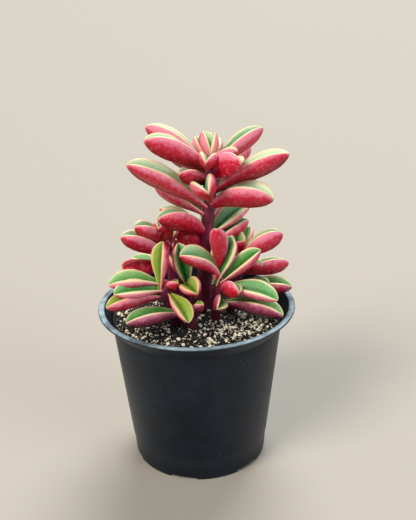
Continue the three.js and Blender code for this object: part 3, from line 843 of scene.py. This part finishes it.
def plasticFinish(cfg):
    material, tree, shader = newMaterial("mouldedPolypropylene")
    place = objectPlace(tree)
    blotch = noiseTexture(tree, place, cfg["blotch"], cfg["blotchDetail"], cfg["blotchRoughness"])
    grain = noiseTexture(tree, place, cfg["grain"])
    scuffs = noiseTexture(tree, place, cfg["scuff"], cfg["scuffDetail"])
    color = colorRamp(tree, blotch, cfg["wall"])
    scuffed = mathNode(tree, "MULTIPLY", softStep(tree, scuffs, *cfg["scuffEdges"]),
                       softStep(tree, blotch, *cfg["scuffBlotches"]))
    scuffed = mathNode(tree, "MULTIPLY", scuffed, cfg["scuffShare"])
    color = mixColor(tree, scuffed, color, linearColor(cfg["scuffColor"]))
    # painted sky reflection on the top of the lip
    lip = softStep(tree, heightAt(tree, place), cfg["lipSheenFrom"] * mm, cfg["lipTo"] * mm)
    lip = mathNode(tree, "MULTIPLY", lip, softStep(tree, blotch, *cfg["lipSheenBlotches"]))
    setColor(tree, shader, mixColor(tree, lip, color, linearColor(cfg["lip"])))
    setRoughness(tree, shader, blotch, cfg["roughness"], cfg["roughReach"])
    setBump(tree, shader, (grain, cfg["grainBump"]), (blotch, cfg["blotchBump"]))
    shader.inputs["IOR"].default_value = 1.49
    shader.inputs["Specular IOR Level"].default_value = cfg["shine"]
    return material


def makePot(cfg):
    body = latheObject("potShell", potProfile(cfg), cfg["sides"])
    fixNormals(body)
    cutters = cutterObject(cfg)
    cut = body.modifiers.new("cuts", "BOOLEAN")
    cut.object = cutters
    cut.operation = "DIFFERENCE"
    cut.solver = "EXACT"
    pot = madePlain(body, "nurseryPot")
    bpy.data.objects.remove(cutters)
    pot.data.shade_smooth()
    pot.data.set_sharp_from_angle(angle=math.radians(cfg["sharpAngle"]))
    pot.data.materials.clear()
    pot.data.materials.append(plasticFinish(plasticColors))
    placePiece(pot, "pot", "pot")
    print("pot ready:", len(pot.data.polygons), "faces")


makePot(potSettings)


# Potting mix: fills the pot, in millimetres

soilSettings = {
    "edgeHeight": 81.5, "crown": 2.2, "fullRadius": 45.6, "edgeRadius": 45.2, "bands": 56, "sides": 200,
    "crumble": 0.55, "crumbleWidth": 3.2, "fineCrumble": 0.3, "fineWidth": 1.2, "noiseLevel": 3.7,
    # radius and height of the rings under the open top
    "hiddenRings": [[34.2, 4.1], [36.0, 12.4], [43.9, 79.1], [44.6, 80.6]],
}


def soilHeight(x, y, cfg):
    # a low dome with broad swells that fade towards the edge
    away = math.hypot(x, y) / cfg["fullRadius"]
    lumps = 0.5 * math.sin(x * 0.42 + 1) * math.cos(y * 0.37) + 0.35 * math.sin(x * 0.9 - y * 0.8)
    return cfg["edgeHeight"] + cfg["crown"] * (1 - away * away) + lumps * (1 - away)


def soilBody(cfg):
    vertices = []

    def addRing(radius, heightOf):
        for i in range(cfg["sides"]):
            angle = 2 * math.pi * i / cfg["sides"]
            x, y = radius * math.cos(angle), radius * math.sin(angle)
            vertices.append(Vector((x, y, heightOf(x, y))) * mm)

    def rough(x, y):
        spot = Vector((x, y, cfg["noiseLevel"]))
        return (soilHeight(x, y, cfg) + cfg["crumble"] * noise.noise(spot / cfg["crumbleWidth"])
                + cfg["fineCrumble"] * noise.noise(spot / cfg["fineWidth"]))

    for radius, height in cfg["hiddenRings"]:
        addRing(radius, lambda x, y: height)
    for k in range(cfg["bands"]):
        addRing(cfg["edgeRadius"] * (1 - k / cfg["bands"]), rough)
    bottom = cfg["hiddenRings"][0][1]
    vertices += [Vector((0, 0, rough(0, 0))) * mm, Vector((0, 0, bottom)) * mm]
    rings = len(cfg["hiddenRings"]) + cfg["bands"]
    body = meshObject("pottingMix", vertices, ringFaces(cfg["sides"], rings))
    fixNormals(body)
    return body


# Grains strewn over the open top. Density is grains per square millimetre where amount is 1.

topSettings = {
    "bands": 24, "sides": 72, "inset": 1.3,
    # how thickly perlite lies: everywhere, in soft patches, and where it has gathered
    "least": 0.4, "patchy": 1.6, "patchWidth": 9,
    # place and reach of each heap, and how much more lies there
    "heaps": [[16, -25, 6, 4.5], [26, -20, 6, 2.5], [36, -18, 5, 2.5], [-28, -26, 8, 0.6],
              [2, -36, 6, 0.6]],
}

grainSettings = {
    "perliteChunks": {
        "density": 0.17, "smallest": 0.45, "largest": 1.6, "sink": 0.2, "even": 0.0, "seed": 11,
        "subdivisions": 2, "lumps": 0.55, "stretch": (1, 0.85, 0.7), "shapeSeed": 3,
    },
    "perliteSpecks": {
        "density": 0.75, "smallest": 0.2, "largest": 0.6, "sink": 0.05, "even": 0.6, "seed": 12,
        "subdivisions": 1, "lumps": 0.4, "stretch": (1, 0.9, 0.7), "shapeSeed": 8,
    },
    "peatCrumbs": {
        "density": 0.9, "smallest": 0.3, "largest": 1.1, "sink": 0.1, "even": 1.0, "seed": 13,
        "subdivisions": 1, "lumps": 0.6, "stretch": (1.2, 0.9, 0.7), "shapeSeed": 5,
    },
    "strawFibres": {
        "density": 0.02, "smallest": 0.6, "largest": 1.3, "sink": 0.0, "even": 1.0, "seed": 14,
        "subdivisions": 1, "lumps": 0.2, "stretch": (4.5, 0.22, 0.2), "shapeSeed": 6,
    },
}


def soilTop(cfg, soil):
    # the open top alone, marked with how thickly perlite lies there
    bands, sides, width = cfg["bands"], cfg["sides"], cfg["patchWidth"]
    vertices, faces, amounts = [], [], []
    for k in range(bands + 1):
        radius = (soil["edgeRadius"] - cfg["inset"]) * (1 - k / bands)
        for i in range(sides if k < bands else 1):
            angle = 2 * math.pi * i / sides
            x, y = radius * math.cos(angle), radius * math.sin(angle)
            vertices.append(Vector((x, y, soilHeight(x, y, soil))) * mm)
            patch = noise.noise(Vector((x, y, width)) / width)
            amount = cfg["least"] + max(0.0, patch) * cfg["patchy"]
            for heapX, heapY, reach, more in cfg["heaps"]:
                amount += more * math.exp(-((x - heapX) ** 2 + (y - heapY) ** 2) / reach ** 2)
            amounts.append(amount)
    for k in range(bands - 1):
        for i in range(sides):
            j = (i + 1) % sides
            faces.append((k * sides + i, k * sides + j, (k + 1) * sides + j, (k + 1) * sides + i))
    for i in range(sides):
        faces.append(((bands - 1) * sides + i, (bands - 1) * sides + (i + 1) % sides, bands * sides))
    top = meshObject("soilTop", vertices, faces)
    markPoints(top.data, "amount", amounts)
    return top


def grainShape(name, cfg):
    shape = bmesh.new()
    bmesh.ops.create_icosphere(shape, subdivisions=cfg["subdivisions"], radius=mm)
    shift = Vector((cfg["shapeSeed"], cfg["shapeSeed"] * 2, 0))
    for vertex in shape.verts:
        vertex.co *= 1 + cfg["lumps"] * noise.noise(vertex.co / mm * 1.3 + shift)
        vertex.co = Vector(c * s for c, s in zip(vertex.co, cfg["stretch"]))
    return bmeshObject(name, shape)


def scatterTree():
    # grains strewn over a surface: turned and sized at random, each sunk a little
    sockets = {"Surface": "Geometry", "Grain": "Object", "Density": "Float", "Smallest": "Float",
               "Largest": "Float", "Sink": "Float", "Even": "Float", "Seed": "Int", "Finish": "Material"}
    tree, given = newTree("strewnGrains", sockets, "Grains")
    amount = addNode(tree, "GeometryNodeInputNamedAttribute", {"data_type": "FLOAT"},
                     {"Name": "amount"}).outputs["Attribute"]
    share = mathNode(tree, "MAXIMUM", amount, given["Even"])
    points = addNode(tree, "GeometryNodeDistributePointsOnFaces",
                     inputs={"Mesh": given["Surface"], "Seed": given["Seed"],
                             "Density": mathNode(tree, "MULTIPLY", share, given["Density"])})
    turn = addNode(tree, "FunctionNodeRandomValue", {"data_type": "FLOAT_VECTOR"},
                   {"Min": (0, 0, 0), "Max": (math.tau, math.tau, math.tau), "Seed": given["Seed"]})
    # the float sockets of a random value are numbers 2 and 3, and its result is number 1
    size = addNode(tree, "FunctionNodeRandomValue", {"data_type": "FLOAT"},
                   {2: given["Smallest"], 3: given["Largest"], "Seed": given["Seed"]}).outputs[1]
    # squared, so that small grains are the more common ones
    grown = mathNode(tree, "DIVIDE", mathNode(tree, "MULTIPLY", size, size), given["Largest"])
    grown = mathNode(tree, "MAXIMUM", grown, given["Smallest"])
    grain = addNode(tree, "GeometryNodeObjectInfo", inputs={"Object": given["Grain"], "As Instance": True})
    placed = addNode(tree, "GeometryNodeInstanceOnPoints",
                     inputs={"Points": points.outputs["Points"], "Rotation": turn.outputs[0],
                             "Scale": grown, "Instance": grain.outputs["Geometry"]})
    depth = mathNode(tree, "MULTIPLY", given["Sink"], -mm)
    down = addNode(tree, "ShaderNodeCombineXYZ", inputs={"Z": depth})
    moved = addNode(tree, "GeometryNodeSetPosition",
                    inputs={"Geometry": placed.outputs["Instances"], "Offset": down.outputs["Vector"]})
    endTree(tree, moved.outputs["Geometry"], given["Finish"], "Grains")
    return tree


def strew(name, cfg, tree, finish):
    grain = grainShape(name + "Shape", cfg)
    values = {"Grain": grain, "Density": cfg["density"] / mm ** 2, "Smallest": cfg["smallest"],
              "Largest": cfg["largest"], "Sink": cfg["sink"], "Even": cfg["even"], "Seed": cfg["seed"],
              "Finish": finish}
    piece = runTree(soilTop(topSettings, soilSettings), tree, values, name)
    bpy.data.objects.remove(grain)
    piece.data.attributes.remove(piece.data.attributes["amount"])
    placePiece(piece, "soil")
    print(name, "ready:", len(piece.data.polygons), "faces")


# Potting mix colours: damp black peat, matt and crumbly, with expanded perlite, which is
# a chalky white volcanic glass full of bubbles, and a few straw-brown fibres

mixColors = {
    "peat": [(0.3, "0a0807"), (0.55, "15100d"), (0.85, "2e241b")], "peatPatch": 1.4, "peatDetail": 6.0,
    "peatRoughness": 0.7, "peatBump": (0.8, 0.8),
    "perlite": [(0.25, "c6c097"), (0.5, "f4f2de")], "perlitePatch": 2.5, "bubble": 0.45,
    "bubbleBump": (0.6, 0.25),
    "fibre": [(0.3, "2e241b"), (0.65, "8a6c43")], "fibrePatch": 4,
}


def peatFinish(cfg):
    material, tree, shader = newMaterial("dampPeat")
    patch = noiseTexture(tree, objectPlace(tree), cfg["peatPatch"], cfg["peatDetail"], cfg["peatRoughness"])
    setColor(tree, shader, colorRamp(tree, patch, cfg["peat"]))
    setBump(tree, shader, (patch, cfg["peatBump"]))
    shader.inputs["Roughness"].default_value = 0.85
    return material


def perliteFinish(cfg):
    material, tree, shader = newMaterial("expandedPerlite")
    place = objectPlace(tree)
    patch = noiseTexture(tree, place, cfg["perlitePatch"])
    setColor(tree, shader, colorRamp(tree, patch, cfg["perlite"]))
    setBump(tree, shader, (cellTexture(tree, place, cfg["bubble"]), cfg["bubbleBump"]))
    shader.inputs["Roughness"].default_value = 0.9
    return material


def fibreFinish(cfg):
    material, tree, shader = newMaterial("drySphagnumFibre")
    patch = noiseTexture(tree, objectPlace(tree), cfg["fibrePatch"])
    setColor(tree, shader, colorRamp(tree, patch, cfg["fibre"]))
    shader.inputs["Roughness"].default_value = 0.8
    return material


peatSkin, perliteSkin, fibreSkin = peatFinish(mixColors), perliteFinish(mixColors), fibreFinish(mixColors)
body = soilBody(soilSettings)
body.data.materials.append(peatSkin)
placePiece(body, "soil", "soil")
print("potting mix ready:", len(body.data.polygons), "faces")
strewn = scatterTree()
grainSkins = {"perliteChunks": perliteSkin, "perliteSpecks": perliteSkin, "peatCrumbs": peatSkin,
              "strawFibres": fibreSkin}
for name, cfg in grainSettings.items():
    strew(name, cfg, strewn, grainSkins[name])


# Plain floor and soft studio light

studioSettings = {
    "floorReach": 30, "floor": "aaa69c", "floorRoughness": 0.8, "world": "dfe2e6", "worldStrength": 0.27,
    # where each soft light comes from, its strength, how wide it looks in degrees, its colour
    "lights": [[(-0.55, -0.5, 0.8), 2.6, 27, "fff4e6"], [(0.6, -0.45, 0.5), 1.0, 34, "eef3ff"],
               [(0.15, 0.5, 0.8), 3.0, 38, "ffffff"]],
    "aim": (0, 0, 0.1),
}


def makeStudio(cfg):
    far = cfg["floorReach"]
    corners = [(-far, -far, 0), (far, -far, 0), (far, far, 0), (-far, far, 0)]
    floor = meshObject("floor", corners, [(0, 1, 2, 3)], smooth=False)
    material, _, shader = newMaterial("paleFloor")
    shader.inputs["Base Color"].default_value = linearColor(cfg["floor"])
    shader.inputs["Roughness"].default_value = cfg["floorRoughness"]
    floor.data.materials.append(material)
    for k, (place, strength, width, color) in enumerate(cfg["lights"]):
        data = bpy.data.lights.new(f"softbox{k}", "SUN")
        data.energy = strength
        data.angle = math.radians(width)
        data.color = linearColor(color)[:3]
        lamp = linkObject(f"softbox{k}", data)
        lamp.location = place
        lamp.rotation_euler = (Vector(cfg["aim"]) - Vector(place)).to_track_quat("-Z", "Y").to_euler()
    world = bpy.data.worlds.new("studio")
    world.use_nodes = True
    scene.world = world
    scene.view_settings.view_transform = "Standard"
    background = world.node_tree.nodes["Background"]
    background.inputs["Color"].default_value = linearColor(cfg["world"])
    background.inputs["Strength"].default_value = cfg["worldStrength"]


makeStudio(studioSettings)
print("studio ready")
